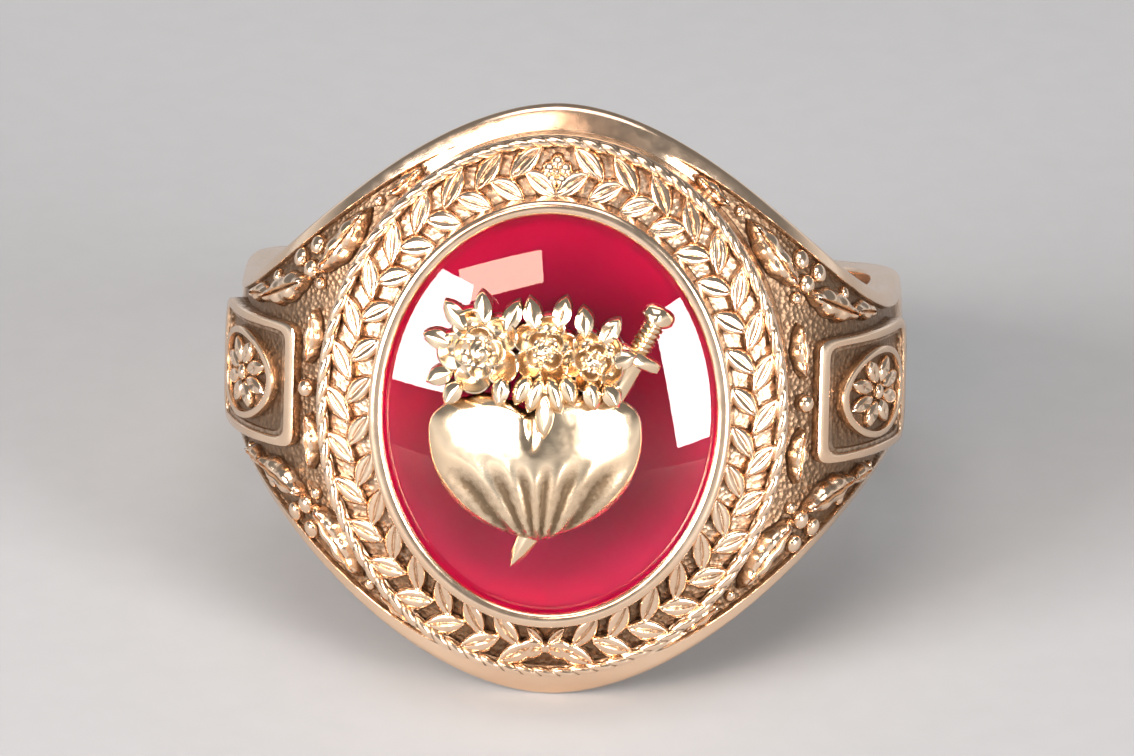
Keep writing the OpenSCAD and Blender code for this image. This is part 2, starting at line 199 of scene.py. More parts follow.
def bump(distance, width):
    """1 at no distance, and near 0 beyond twice the width."""
    return np.exp(-(distance / width) ** 2)


def turned(points, degrees):
    """Plane points turned about the origin."""
    c, s = math.cos(math.radians(degrees)), math.sin(math.radians(degrees))
    return np.stack([points[..., 0] * c - points[..., 1] * s, points[..., 0] * s + points[..., 1] * c], -1)


def rotations(count):
    """count even angles round a circle, in radians."""
    return np.arange(count) * 2 * math.pi / count


def round_outline(count):
    """A circle of radius 1."""
    t = rotations(count)
    return np.stack([np.cos(t), np.sin(t)], -1)


def square_outline(count, power=14):
    """A square with rounded corners, of half width 1."""
    t = rotations(count) + math.pi / count
    c, s = np.cos(t), np.sin(t)
    return np.stack([c, s], -1) * ((np.abs(c) ** power + np.abs(s) ** power) ** (-1 / power))[:, None]


def leaf_outline(count, fullness=1.6):
    """A pointed leaf along X, from -1 to 1, of half width 1."""
    t = rotations(count)
    x = np.cos(t)
    return np.stack([x, np.sin(t) * (1 - np.abs(x) ** fullness) ** 0.35], -1)


# Parts. Each maker returns points, faces, and each point's recess: 1 in the bottom of the relief, where
# the patina stays, and 0 on what is polished. The border's recess also holds painted shade towards its
# bottom, and the heart's a painted shade over its lower half.
def strip_faces(rows, columns, closed=False):
    """The faces between rows of points, each row a closed loop, the last joined to the first if closed."""
    i = np.arange(rows if closed else rows - 1)[:, None]
    j = np.arange(columns)[None, :]
    k, m = (i + 1) % rows, (j + 1) % columns
    return np.stack([i * columns + j, i * columns + m, k * columns + m, k * columns + j], -1).reshape(-1, 4)


def grid_recess(recess, rows, columns):
    """Each point's recess, from one number for each row or one for each point."""
    recess = np.asarray(recess, float)
    return np.broadcast_to(recess[:, None] if recess.ndim == 1 else recess, (rows, columns)).ravel()


def ringed(rings, recess):
    """A closed solid from rings of points, counter-clockwise seen from its last ring."""
    rings = np.asarray(rings, float)
    rows, columns = rings.shape[:2]
    points = np.concatenate([rings.reshape(-1, 3), rings[:1].mean(1), rings[-1:].mean(1)])
    hollow = grid_recess(recess, rows, columns)
    hollow = np.concatenate([hollow, hollow[:1], hollow[-1:]])
    j = np.arange(columns)
    m = (j + 1) % columns
    last = (rows - 1) * columns
    low = np.stack([np.full(columns, rows * columns), m, j], -1)
    high = np.stack([np.full(columns, rows * columns + 1), last + j, last + m], -1)
    return points, [strip_faces(rows, columns), low, high], hollow


def looped(sections, recess):
    """A closed ring of closed sections, such as the band."""
    rows, columns = sections.shape[:2]
    faces = [strip_faces(rows, columns, closed=True)]
    return sections.reshape(-1, 3), faces, grid_recess(recess, rows, columns)


def joined(parts):
    """Several parts as one."""
    points, faces, recess, start = [], [], [], 0
    for part_points, part_faces, part_recess in parts:
        points.append(part_points)
        faces += [f + start for f in part_faces]
        recess.append(part_recess)
        start += len(part_points)
    return np.concatenate(points), faces, np.concatenate(recess)


def hollowness(points, faces):
    """How hollow the surface is at each point: above 0 in grooves, below 0 along ridges, in 1/mm."""
    count = len(points)
    quads = np.concatenate([f if f.shape[1] == 4 else f[:, [0, 1, 2, 2]] for f in faces])
    a, b, c, d = (points[quads[:, k]] for k in range(4))
    across = np.cross(c - a, d - b)
    normal = np.stack([np.bincount(quads.ravel(), np.repeat(across[:, k], 4), count) for k in range(3)], -1)
    normal /= np.linalg.norm(normal, axis=1)[:, None] + 1e-12
    i, j = quads.ravel(), np.roll(quads, -1, 1).ravel()
    i, j = i[i != j], j[i != j]
    step = points[j] - points[i]
    length = np.linalg.norm(step, axis=1) + SHORTEST_STEP
    ends, others = np.concatenate([i, j]), np.concatenate([j, i])
    bend = np.concatenate([(normal[i] * step).sum(1), -(normal[j] * step).sum(1)]) / np.tile(length ** 2, 2)
    weight = np.tile(length, 2)
    total = np.bincount(ends, weight, count) + 1e-9
    value = np.bincount(ends, np.clip(bend, -BEND_LIMIT, BEND_LIMIT) * weight, count) / total
    for _ in range(SMOOTHINGS):
        value = 0.4 * value + 0.6 * np.bincount(ends, value[others] * weight, count) / total
    return value


def add_mesh(name, part, materials, groove=0.14, flat_faces=0):
    """One object of the part, riding on the ring.

    groove says how much its hollows add to its recess. Its first flat_faces faces are flat, in the second
    of the materials.
    """
    points, faces, recess = part
    data = bpy.data.meshes.new(name)
    data.vertices.add(len(points))
    data.vertices.foreach_set("co", world(points).astype(np.float32).ravel())
    loops = np.concatenate([f.ravel() for f in faces])
    sizes = np.concatenate([np.full(len(f), f.shape[1]) for f in faces])
    data.loops.add(len(loops))
    data.loops.foreach_set("vertex_index", loops.astype(np.int32))
    data.polygons.add(len(sizes))
    data.polygons.foreach_set("loop_start", np.concatenate([[0], np.cumsum(sizes)[:-1]]).astype(np.int32))
    first = np.arange(len(sizes)) < flat_faces
    data.polygons.foreach_set("use_smooth", ~first)
    data.polygons.foreach_set("material_index", first.astype(np.int32))
    data.update(calc_edges=True)
    layer = data.attributes.new("recess", "FLOAT", "POINT")
    value = np.clip(recess + groove * hollowness(points, faces), -1, 1)
    layer.data.foreach_set("value", value.astype(np.float32))
    data.set_sharp_from_angle(angle=math.radians(SHARP_ANGLE))
    for material in materials:
        data.materials.append(material)
    piece = bpy.data.objects.new(name, data)
    bpy.context.scene.collection.objects.link(piece)
    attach(piece, "root")
    return piece


# The band's surface
def facing(angle):
    """1 at the middle of the head, 0 from the sides of the finger backwards."""
    return ease(np.cos(np.radians(angle)), 0, 1)


def band_r(angle):
    """The band's outer radius, at an angle in degrees from the middle of the head."""
    a = np.radians(angle)
    side, front = np.abs(np.sin(a)) / SHANK_R, np.maximum(np.cos(a), 0) / PLATE_Z
    square_round = (side ** SHOULDER_POWER + front ** SHOULDER_POWER) ** (-1 / SHOULDER_POWER)
    return np.where(np.cos(a) > 0, square_round, SHANK_R)


def band_half(angle):
    """Half the band's width along the finger."""
    a = np.radians(angle)
    reach = np.minimum(band_r(angle) * np.abs(np.sin(a)) / SHANK_R, 1)
    front = mix(HEAD_HALF, SIDE_HALF, reach ** OUTLINE_POWER)
    back = mix(SIDE_HALF, BACK_HALF, ease(-np.cos(a), 0, 1))
    return np.where(np.cos(a) > 0, front, back) - OUTLINE_INSET


def band_drop(angle, y):
    """How far the crowned surface falls from its middle to y."""
    return mix(SHANK_CROWN, RIM_DROP, facing(angle)) * (np.abs(y) / band_half(angle)) ** 4


def on_band(angle, y, h):
    """A point on the band: angle round the finger, y along it, h above the surface."""
    angle, y, h = np.broadcast_arrays(np.asarray(angle, float), y, h)
    r = band_r(angle) - band_drop(angle, y) + h
    a = np.radians(angle)
    return np.stack([r * np.sin(a), y, r * np.cos(a)], -1)


def above_band(points):
    """Height of points above the band's surface."""
    angle = np.degrees(np.arctan2(points[:, 0], points[:, 2]))
    return np.hypot(points[:, 0], points[:, 2]) - band_r(angle) + band_drop(angle, points[:, 1])


def turn_per_mm(angle):
    """Degrees round the finger for 1 mm along the band's surface."""
    return 180 / (math.pi * float(band_r(angle)))


def band():
    """The band: the plate under the head, the shoulders with their sunk ground, the shank and the hole."""
    # Steps under the head, over the relief of the shoulders and round the shank
    right = np.concatenate([np.linspace(0, 12, 10, endpoint=False), np.linspace(12, 92, 190, endpoint=False),
                            np.linspace(92, 180, 60, endpoint=False)])
    angles = np.concatenate([right, [180], 360 - right[:0:-1]])
    w = band_half(angles)
    turn = np.minimum(angles, 360 - angles)
    sunk = ease(turn, *GROUND_START) * (1 - ease(turn, *GROUND_END))
    stripe = w - np.minimum(STRIPE_W, w / 3)
    rad = np.radians(angles)
    half, recess = [], []

    def surface(y, h, hollow):
        """A line round the outer surface, sunk where the head covers it."""
        x = on_band(angles, y, 0)[:, 0]
        under_head = 1 - ease(np.hypot(x / RIDGE_HALF[0], y / RIDGE_HALF[1]), 0.75, 0.92)
        half.append(on_band(angles, y, h - UNDER_HEAD_DROP * under_head * (turn < 90)))
        recess.append(np.broadcast_to(hollow, angles.shape))

    def inside(y, r, hollow=0.1):
        """A line round the side wall or the hole."""
        half.append(np.stack([r * np.sin(rad), np.broadcast_to(y, rad.shape), r * np.cos(rad)], -1))
        recess.append(np.full(angles.shape, hollow))

    for share in np.linspace(0, 1, 24):
        surface((stripe - GROUND_WALL_W) * share, -GROUND_DEPTH * sunk, sunk)
    for share in np.linspace(0, 1, 7)[1:]:
        up = ease(share, 0, 1)
        surface(stripe - GROUND_WALL_W * (1 - share), -GROUND_DEPTH * sunk * (1 - up),
                sunk * (1 - up) ** 0.5)
    for share in (0.12, 0.5, 1):
        surface(mix(stripe, w - EDGE_ROUND, share), 0, 0)
    for a in np.linspace(0, math.pi / 2, 8)[1:]:
        surface(w - EDGE_ROUND * (1 - math.sin(a)), -EDGE_ROUND * (1 - math.cos(a)), 0)
    # The side wall, a small round, and the finger hole
    outer_r = np.hypot(half[-1][:, 0], half[-1][:, 2])
    slope = mix(SHANK_DRAFT, HEAD_DRAFT, facing(angles))
    hole_w = w - slope * (band_r(angles) - RIM_DROP * facing(angles) - BORE_R)
    for share in (0.3, 0.65):
        inside(mix(w, hole_w, share), mix(outer_r, BORE_R + HOLE_ROUND, share))
    for a in np.linspace(0, math.pi / 2, 6):
        inside(hole_w - HOLE_ROUND * (1 - math.cos(a)), BORE_R + HOLE_ROUND * (1 - math.sin(a)))
    for share in (0.66, 0.33, 0):
        inside((hole_w - HOLE_ROUND) * share, BORE_R + 0 * w)
    right_half = np.stack(half, 1)
    left_half = right_half[:, 1:-1][:, ::-1] * np.array([1, -1, 1])
    hollow = np.stack(recess, 1)
    sections = np.concatenate([right_half, left_half], 1)
    return looped(sections, np.concatenate([hollow, hollow[:, 1:-1][:, ::-1]], 1))


# The head
def oval(half, z, angles):
    """A level oval, from its two half axes."""
    x, y = half[0] * np.cos(angles), half[1] * np.sin(angles)
    return np.stack([x, y, np.broadcast_to(z, angles.shape)], -1)


def border_floor(t):
    """Height of the sunk border's floor, from the bezel, 0, to its outer edge, 1."""
    return BORDER_IN_Z - BORDER_FALL * t


def border_patina_and_shade(angle):
    """The share of the border's patina that shows: 0.6 at its top and sides and all of it at the bottom, a
    painted shade that darkens the bottom.
    """
    return mix(0.6, 1, ease(-np.sin(angle), 0.35, 0.95))


def stone_ring(half, z, angles, cut):
    """A ring of the stone: round where cut is 0, with straight facet edges where it is 1."""
    facet = 2 * math.pi / PAVILION_FACETS
    flat = mix(1, np.cos(facet / 2) / np.cos(angles % facet - facet / 2), cut)
    return oval(half, z, angles) * np.stack([flat, flat, np.ones_like(angles)], -1)


def stone_rings(grow, angles):
    """The stone's culet, its lower facets' middle and its girdle's two edges, or the seat that fits them."""
    half = STONE_HALF + grow
    culet = np.array([CULET_W, CULET_W * STONE_HALF[1] / STONE_HALF[0]]) / 2 + grow
    low_z = GIRDLE_Z - GIRDLE_T
    return [stone_ring(culet, low_z - PAVILION_DEPTH - grow, angles, 1),
            stone_ring(mix(culet, half, 0.62), low_z - 0.52 * PAVILION_DEPTH - grow, angles, 1),
            stone_ring(half, low_z - grow, angles, 0),
            stone_ring(half, GIRDLE_Z + grow, angles, 0)]


def head():
    """The oval setting: its wall, the flat that carries the rope, the sunk border, the bezel and the seat."""
    angles = rotations(384)
    rings, recess = [], []

    def ring(half, z, hollow):
        """The next level oval of the head's section."""
        rings.append(oval(half, z, angles))
        recess.append(np.broadcast_to(hollow, angles.shape))

    rope_z = BORDER_OUT_Z + ROPE_FLAT_H
    ring(RIDGE_HALF - HEAD_DRAFT, FOOT_Z, 1)
    # The wall in small steps, dark where it meets the shoulders, and its rounded upper edge
    for inset, drop in [(0, 0.13 * k) for k in range(16, 0, -1)] + [(0.015, 0.04), (0.05, 0)]:
        wall_height = above_band(oval(RIDGE_HALF - inset, rope_z - drop, angles))
        ring(RIDGE_HALF - inset, rope_z - drop, 0.95 * (1 - ease(wall_height, -0.2, 0.3)))
    ring(BORDER_HALF + 0.05, rope_z, 0.5)
    ring(BORDER_HALF, rope_z - 0.04, 0.8)
    # The border's floor, with patina in its ground and painted shade towards its bottom
    for share in (1, 0.95, 0.85, 0.65, 0.4, 0.2, 0.06, 0):
        ring(mix(BEZEL_HALF, BORDER_HALF, share), border_floor(share), border_patina_and_shade(angles))
    for share, hollow in ((0.1, 0.8), (0.3, 0.25), (0.6, 0), (0.9, 0)):
        ring(BEZEL_HALF - BEZEL_DRAFT * share, mix(border_floor(0), LIP_Z - LIP_ROUND, share), hollow)
    lip_half = STONE_HALF - LIP_OVERLAP
    crest_half = (BEZEL_HALF - BEZEL_DRAFT + lip_half) / 2
    lip_r = BEZEL_HALF[0] - BEZEL_DRAFT - crest_half[0]
    for a in np.linspace(0, math.pi, 17):
        ring(crest_half + lip_r * math.cos(a), LIP_Z - LIP_ROUND + LIP_ROUND * math.sin(a), 0)
    ring(lip_half + 0.01, GIRDLE_Z + LIP_ROUND, 0.6)
    rings += stone_rings(SEAT_GAP, angles)[::-1]
    return ringed(rings, recess + [np.full(angles.shape, 0.6)] * 4)


def rope():
    """The rope ridge: twisted strands laid along the border's outer edge."""
    steps_per_strand, around = 14, 16
    a = rotations(ROPE_STRANDS * steps_per_strand)
    middle_half = BORDER_HALF + RIDGE_W / 2
    middle = oval(middle_half, BORDER_OUT_Z + ROPE_MIDDLE_H, a)
    out = np.stack([np.cos(a) * middle_half[1], np.sin(a) * middle_half[0], 0 * a], -1)
    out /= np.linalg.norm(out, axis=1)[:, None]
    up = np.array([0, 0, 1.0])
    sections, recess = [], []
    for b in rotations(around)[::-1]:
        swell = np.abs(np.sin((a * ROPE_STRANDS - 2.2 * math.cos(b)) / 2)) ** 0.8
        r = ROPE_R + STRAND_SWELL * swell
        sections.append(middle + r[:, None] * (math.cos(b) * out + math.sin(b) * up))
        recess.append(0.9 * (1 - ease(swell, 0.1, 0.6)) + (0.5 if math.sin(b) < -0.2 else 0))
    return looped(np.stack(sections, 1), np.stack(recess, 1))


def on_border(angle, along, offset, h):
    """Points on the sunk border: along and offset are mm along it and out of its middle line."""
    middle = mix(BEZEL_HALF, BORDER_HALF, 0.5)
    speed = math.hypot(middle[0] * math.sin(angle), middle[1] * math.cos(angle))
    a = angle + along / speed
    t = 0.5 + offset / BORDER_W
    half = BEZEL_HALF + (BORDER_HALF - BEZEL_HALF) * t[:, None]
    return np.stack([half[:, 0] * np.cos(a), half[:, 1] * np.sin(a), border_floor(t) + h], -1)


def border_leaf(angle, lean, length, width, offset, height=0.34):
    """A laurel leaf of the border with a sunk vein, leaning out of its line."""
    outline = leaf_outline(28)
    rings, recess = [], []
    # Share of the outline, share of the height, recess
    levels = ((1, -0.2, 1), (1, 0.16, 0.9), (0.96, 0.5, 0.35), (0.84, 0.78, 0), (0.62, 0.96, 0),
              (0.38, 1, 0), (0.2, 0.95, 0.1), (0.06, 0.78, 0.5))
    for share, h, hollow in levels:
        p = outline * np.array([length / 2, width / 2]) * np.array([mix(0.72, 1, share), share])
        p = turned(p, lean)
        rings.append(on_border(angle, p[:, 0], offset + p[:, 1], h * height))
        # Patina in the leaf's hollows, with painted shade towards the border's bottom
        recess.append(hollow * border_patina_and_shade(angle))
    return ringed(rings, recess)


def border_mound(angle, offset, outline, height):
    """A small round ornament on the border, from its outline in mm."""
    rings, recess = [], []
    levels = ((1, -0.3, 1), (1, 0.15, 0.8), (0.97, 0.4, 0.3), (0.86, 0.66, 0), (0.66, 0.86, 0),
              (0.4, 0.98, 0), (0.15, 1, 0))
    for share, h, hollow in levels:
        rings.append(on_border(angle, outline[:, 0] * share, offset + outline[:, 1] * share, h * height))
        # Patina round the ornament's foot, with painted shade towards the border's bottom
        recess.append(hollow * border_patina_and_shade(angle))
    return ringed(rings, recess)


def border_wreath():
    """Laurel up both sides of the border, from a knot at the bottom to a flower at the top."""
    parts = []
    top, bottom = math.pi / 2, -math.pi / 2
    pairs, lean, length, width, offset = 17, 37, 1.3, 0.68, 0.31
    for side in (1, -1):
        for k in range(pairs):
            angle = bottom + side * math.pi * (k + 0.75) / (pairs + 0.6)
            parts.append(border_leaf(angle, side * lean, length, width, offset))
            parts.append(border_leaf(angle + side * 0.075, -side * lean, length, width, -offset))
            parts.append(border_mound(angle + side * 0.115, 0.02, 0.14 * round_outline(16), 0.26))
    petals = 5
    for k in range(petals):
        petal = turned(np.array([[0, 0.27]]), 360 / petals * k)[0]
        outline = 0.22 * round_outline(20)
        parts.append(border_mound(top + petal[0] / BORDER_HALF[0], petal[1], outline, 0.36))
    parts.append(border_mound(top, 0, 0.15 * round_outline(16), 0.5))
    for side in (1, -1):
        parts.append(border_leaf(bottom + side * 0.07, side * 12, 0.95, 0.7, 0.12))
        parts.append(border_leaf(bottom + side * 0.055, -side * 40, 0.8, 0.36, -0.3))
    parts.append(border_mound(bottom, 0.05, 0.2 * square_outline(20, 5), 0.45))
    return joined(parts)


# The shoulders
def raised(side, angle, y, outline, lean, levels, ramp=False):
    """A raised shape on a shoulder, from its outline in mm and levels of (share, height, recess)."""
    per_mm = turn_per_mm(angle)
    rings, recess = [], []
    for share, h, hollow in ((levels[0][0], RELIEF_ROOT_H, 1),) + tuple(levels):
        p = turned(outline * share, lean)
        turn = angle + p[:, 0] * per_mm
        fall = PANEL_RAMP * (PANEL_TO - turn) / (PANEL_TO - PANEL_FROM) if ramp else 0
        rings.append(on_band(side * turn, y + side * p[:, 1], h - fall))
        recess.append(hollow)
    return ringed(rings, recess)


def panel(side):
    """The framed panel, which stands out more towards the shank."""
    half = np.array([(PANEL_TO - PANEL_FROM) / 2 / turn_per_mm(PANEL_MID), PANEL_W / 2])
    inner = (half[1] - FRAME_W) / half[1]
    top = FRAME_H - 0.02
    levels = ((1, top - 0.3, 0.8), (1, top - 0.1, 0.3), (0.995, top - 0.03, 0), (0.975, top, 0),
              (inner + 0.1, top, 0), (inner + 0.08, top - 0.03, 0.2), (inner + 0.07, top - 0.1, 0.8),
              (inner + 0.02, top - 0.12, 0.6), (inner + 0.01, top - 0.14, 0.8),
              (inner, PANEL_FLOOR_H + 0.02, 0.9), (inner - 0.03, PANEL_FLOOR_H, 1), (0.5, PANEL_FLOOR_H, 0.9),
              (0.2, PANEL_FLOOR_H, 0.9))
    return raised(side, PANEL_MID, 0, square_outline(128) * half, 0, levels, ramp=True)


def dome(side, angle, y, radius, base, ramp=False):
    """A berry, a bead or the middle of a rosette."""
    levels = [(1, base, 0.8), (1, base + 0.15 * radius, 0.3)]
    for b in (12, 25, 40, 55, 70, 84):
        b = math.radians(b)
        levels.append((math.cos(b), base + radius * (0.15 + 0.85 * math.sin(b)), 0))
    return raised(side, angle, y, radius * round_outline(24), 0, levels, ramp)


def medallion(side):
    """An oval rim with an eight-petal rosette in it."""
    rim = ((1, 0.22, 0.6), (1, 0.36, 0), (0.985, 0.42, 0), (0.95, MEDALLION_H, 0), (0.89, MEDALLION_H, 0),
           (0.855, 0.42, 0), (0.84, 0.34, 0.3), (0.83, 0.22, 1), (0.8, 0.19, 1), (0.5, 0.19, 1),
           (0.2, 0.19, 1))
    parts = [raised(side, PANEL_MID, 0, MEDALLION_HALF * round_outline(96), 0, rim, ramp=True)]
    petals = 8
    petal_levels = ((1, 0.2, 0.9), (0.97, 0.3, 0.2), (0.8, 0.38, 0), (0.5, 0.42, 0), (0.2, 0.37, 0.2),
                    (0.06, 0.34, 0.5))
    per_mm = turn_per_mm(PANEL_MID)
    for k in range(petals):
        turn = 360 * (k + 0.5) / petals
        at = MEDALLION_HALF * turned(np.array([[0.5, 0.0]]), turn)[0]
        outline = MEDALLION_HALF * turned(leaf_outline(28, 2.4) * np.array([0.3, 0.17]), turn)
        angle = PANEL_MID + at[0] * per_mm
        parts.append(raised(side, angle, side * at[1], outline, 0, petal_levels, ramp=True))
    parts.append(dome(side, PANEL_MID, 0, 0.24, 0.22, ramp=True))
    return joined(parts)


def shoulder_leaf(side, angle, y, lean, size):
    """A leaf with a sunk middle vein and side ribs that meet a toothed edge."""
    count, ribs = 96, 5 if size > 0.8 else 4
    outline = leaf_outline(count, 1.9)
    wave = np.cos(2 * ribs * np.arccos(np.clip(outline[:, 0], -1, 1)))
    outline = outline * np.stack([np.ones(count), 1 + 0.06 * wave], -1)
    height = (0.4 + 0.6 * size) * LEAF_H
    per_mm = turn_per_mm(angle)
    rings, recess = [], []
    for share in (1.0, 1.0, 0.97, 0.9, 0.8, 0.66, 0.5, 0.34, 0.2, 0.1, 0.03):
        p = outline * np.array([LEAF_LEN, LEAF_W]) * size / 2 * np.array([mix(0.8, 1, share), share])
        p = turned(p, lean)
        rib = 0.09 * height * wave * 4 * share * (1 - share)
        top = height * (1 - share ** 2.8) * (1 - 0.35 * bump(share, 0.12)) + rib - 0.72 * GROUND_DEPTH
        h = top if rings else RELIEF_ROOT_H
        rings.append(on_band(side * (angle + p[:, 0] * per_mm), y + side * p[:, 1], h))
        edge = ease(share, 0.9, 1.0)
        groove = 0.55 * ease(-wave, 0.3, 1) * ease(share, 0.15, 0.4) + 0.8 * bump(share, 0.09)
        recess.append(np.clip(edge + groove, 0, 1) + 0 * wave)
    return ringed(rings, recess)


def stripe_y(angle):
    """Where the smooth stripe starts."""
    return float(band_half(angle)) - STRIPE_W


def ground_y(angle):
    """Middle of the ground between the rope ridge and the smooth stripe."""
    x = min(float(band_r(angle)) * math.sin(math.radians(angle)) / RIDGE_HALF[0], 1)
    return (RIDGE_HALF[1] * math.sqrt(1 - x * x) + stripe_y(angle)) / 2


def foliage(side):
    """Leaves and berries between the panel, the rope ridge and the smooth stripes."""
    edge_y = PANEL_W / 2 + RELIEF_GAP
    # Angle from the panel's front edge, distance along the finger, lean, size
    leaves = ((-15.7, ground_y(PANEL_FROM - 15.7), 41, 0.56),
              (-7, ground_y(PANEL_FROM - 7) + 0.25 * LEAF_W, 53, 1),
              (-2.8, edge_y - 0.45 * LEAF_W, 84, 0.65),
              (3.6, edge_y + 0.78 * LEAF_W, 20, 0.95),
              (11.9, edge_y + 0.43 * LEAF_W, 8, 0.6))
    # Angle from the panel's front edge, distance from the stripe, radius
    berries = ((-2.1, 0.45, BERRY_R), (1.1, 0.42, BERRY_R), (-1.5, 1.08, BERRY_R), (6.9, 0.36, 0.18),
               (-11.5, 0.42, 0.17), (-3.4, 1.75, 0.19), (16.6, 0.25, 0.14))
    parts = []
    for up in (1, -1):
        for turn, y, lean, size in leaves:
            parts.append(shoulder_leaf(side, PANEL_FROM + turn, up * y, -side * up * lean, size))
        for turn, gap, radius in berries:
            angle = PANEL_FROM + turn
            parts.append(dome(side, angle, up * (stripe_y(angle) - gap), radius, -0.16))
    return joined(parts)


def shoulder(side):
    """All the relief of one shoulder: 1 is the right one, -1 the left one."""
    bead_turn = PANEL_FROM - (BERRY_R + RELIEF_GAP) * turn_per_mm(PANEL_FROM)
    bead = dome(side, bead_turn, 0, BERRY_R - 0.02, -0.02)
    return joined([panel(side), medallion(side), foliage(side), bead])


# The stone
def dome_z(p):
    """Height of the stone's top."""
    return GIRDLE_Z + DOME_RISE * (1 - (p[..., 0] / STONE_HALF[0]) ** 2 - (p[..., 1] / STONE_HALF[1]) ** 2)


def stone():
    """The stone, its flat underside first, and the number of faces of that underside."""
    angles = rotations(STONE_STEPS)
    rings = stone_rings(0, angles)
    for share in np.concatenate([[0.985, 0.96], np.linspace(0.92, 0.04, 23)]):
        p = share * STONE_HALF * np.stack([np.cos(angles), np.sin(angles)], -1)
        rings.append(np.concatenate([p, dome_z(p)[:, None]], 1))
    points, faces, recess = ringed(rings, np.zeros(len(rings)))
    sides, low, high = faces
    underside = 2 * STONE_STEPS
    return (points, [sides[:underside], low, sides[underside:], high], recess), underside + len(low)


# The emblem
def on_stone(p, h):
    """Points of the emblem, h above the gap over the stone's top."""
    return np.concatenate([p, (dome_z(p) + EMBLEM_GAP + h)[..., None]], -1)


def heart_outline(count):
    """The heart from its notch: two lobes above its widest line, a half oval with a small point below."""
    a = rotations(count)
    x, c = np.sin(a), np.cos(a)
    lobes = LOBE_SHARE * HEART_LEN * np.maximum(c, 0) ** 0.6 * (1 - 0.4 * bump(x, 0.22))
    below = (1 - LOBE_SHARE) * HEART_LEN * c * (0.95 + 0.05 * bump(x, 0.2))
    return np.stack([x * HEART_W / 2, np.where(c > 0, lobes, below)], -1)[::-1]


def fold(x, width=0.04):
    """A soft corner: 0 below 0, x above it."""
    return width * np.logaddexp(0, x / width)


def heart():
    """A puffed heart: two full lobes with a crease between them, and flutes towards the tip, its lower half
    darkened by painted shade.
    """
    outline = heart_outline(240)
    edge_shares = [1.0, 1.0, 0.999, 0.995, 0.985, 0.97, 0.95, 0.925]
    rings, recess = [], []
    for share in np.concatenate([edge_shares, np.linspace(0.9, 0.02, 44)]):
        q = outline * share
        x, y = q[:, 0] / (HEART_W / 2), q[:, 1] / HEART_LEN
        puff = (1 - share ** 9) ** 0.6
        crest = HEART_CREST_H - CREST_SIDE_FALL * (np.sqrt(x ** 2 + 0.008) - 0.09)
        crest = crest - CREST_END_FALL * fold(y - CREST_AT) - CREST_END_FALL * fold(CREST_AT - y)
        crease = bump(x, 0.06) * ease(y, -0.1, 0.16)
        fluted = ease(-y, 0.08, 0.3)
        turn = np.arctan2(x, y + 0.86)
        flute = np.cos(FLUTE_COUNT * turn) * fluted * ease(share, 0.12, 0.4) * (1 - ease(share, 0.93, 0.99))
        h = HEART_FOOT_H + puff * (crest - CREASE_DEPTH * crease) + FLUTE_DEPTH * flute
        rings.append(on_stone(turned(q, HEART_LEAN) + HEART_AT, h if rings else 0 * h))
        # Painted shade over the whole fluted lower half, deeper in the flutes' valleys, where patina also
        # lies
        dark = fluted * (0.4 + 0.45 * ease(-flute, -0.4, 0.9))
        recess.append(np.clip(0.6 * crease + dark + (share > 0.9995), 0, 1))
    return ringed(rings, recess)


def petal(centre, away, reach, size, low, high):
    """A cupped petal of a flower: reach and size in mm, away its angle, its rim raised on the outer side."""
    outline = round_outline(32) * np.array([0.86, 1.0]) * size
    # Share of the outline, share of the way from low to high or None on the stone, recess
    levels = ((1, None, 1), (1, 0, 0.6), (0.97, 0.62, 0.1), (0.9, 0.95, 0), (0.82, 1, 0), (0.7, 0.86, 0),
              (0.5, 0.6, 0), (0.28, 0.42, 0.1), (0.08, 0.36, 0.15))
    rings, recess = [], []
    for share, h, hollow in levels:
        p = outline * share
        tip = ease(p[:, 0] / size, -1.1, 0.7)
        z = 0 * tip if h is None else low + (high - low) * h * mix(0.55, 1, tip)
        rings.append(on_stone(turned(p + np.array([reach, 0]), away) + centre, z))
        recess.append(hollow)
    return ringed(rings, recess)


def rose(centre, radius, turn, height):
    """A rose seen from above: two rounds of overlapping cupped petals about a coiled bud."""
    parts = []
    # The outer and the inner round: petals, their reach and size, their lowest and highest points
    for count, reach, size, low, high in ((5, 0.58, 0.44, 0.3, 0.72), (4, 0.3, 0.33, 0.55, 0.92)):
        for k in range(count):
            parts.append(petal(centre, turn + 360 * k / count + 20 * count, reach * radius, size * radius,
                               low * height, high * height))
    bud, recess = [], []
    a = rotations(40)
    for share in (1, 1, 0.95, 0.85, 0.72, 0.58, 0.45, 0.32, 0.2, 0.08):
        p = 0.27 * radius * share * np.stack([np.cos(a), np.sin(a)], -1)
        coil = np.cos(a * 2 + 9 * share)
        z = height * (0.6 + 0.42 * math.sqrt(1 - 0.9 * share ** 2) + 0.05 * coil * share)
        bud.append(on_stone(p + centre, z if bud else 0 * z))
        recess.append(0.6 * ease(-coil, 0.3, 1) * (share < 0.95) + (share > 0.99))
    parts.append(ringed(bud, recess))
    return joined(parts)


